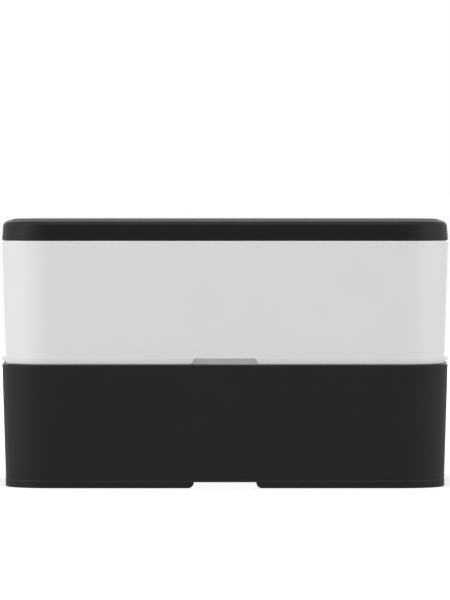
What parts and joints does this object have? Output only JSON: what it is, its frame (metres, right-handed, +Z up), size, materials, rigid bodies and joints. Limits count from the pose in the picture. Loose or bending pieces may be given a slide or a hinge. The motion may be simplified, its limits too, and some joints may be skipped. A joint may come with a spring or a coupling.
{
  "type": "bento lunch box",
  "caption": "Two-tier bento lunch box: two stacking moulded boxes, each closed by a soft translucent plug lid, under a hard outer lid.",
  "frame": {"origin": "bottom centre of the lower box's foot, on the surface that it stands on", "axes": "+X along the long side, the front faces -Y, +Z up; the stack is closed at rest"},
  "size_m": [0.183, 0.113, 0.1072],
  "materials": {
    "black_shell": "black moulded plastic, fine matte",
    "white_shell": "white moulded plastic, fine matte",
    "soft_lid": "milky translucent soft plastic"
  },
  "bodies": {
    "lower_box": {"lower_box": "black_shell"},
    "lower_inner_lid": {"lower_inner_lid": "soft_lid"},
    "upper_box": {"upper_box": "white_shell"},
    "upper_inner_lid": {"upper_inner_lid": "soft_lid"},
    "outer_lid": {"outer_lid": "black_shell"}
  },
  "joints": [
    {"name": "lower_inner_lid_lift", "type": "slide", "parent": "lower_box", "child": "lower_inner_lid", "axis": [0, 0, 1], "range_m": [0, 0.012]},
    {"name": "upper_box_lift", "type": "slide", "parent": "lower_inner_lid", "child": "upper_box", "axis": [0, 0, 1], "range_m": [0, 0.0103]},
    {"name": "upper_inner_lid_lift", "type": "slide", "parent": "upper_box", "child": "upper_inner_lid", "axis": [0, 0, 1], "range_m": [0, 0.0089]},
    {"name": "outer_lid_lift", "type": "slide", "parent": "upper_inner_lid", "child": "outer_lid", "axis": [0, 0, 1], "range_m": [0, 0.0127]}
  ]
}
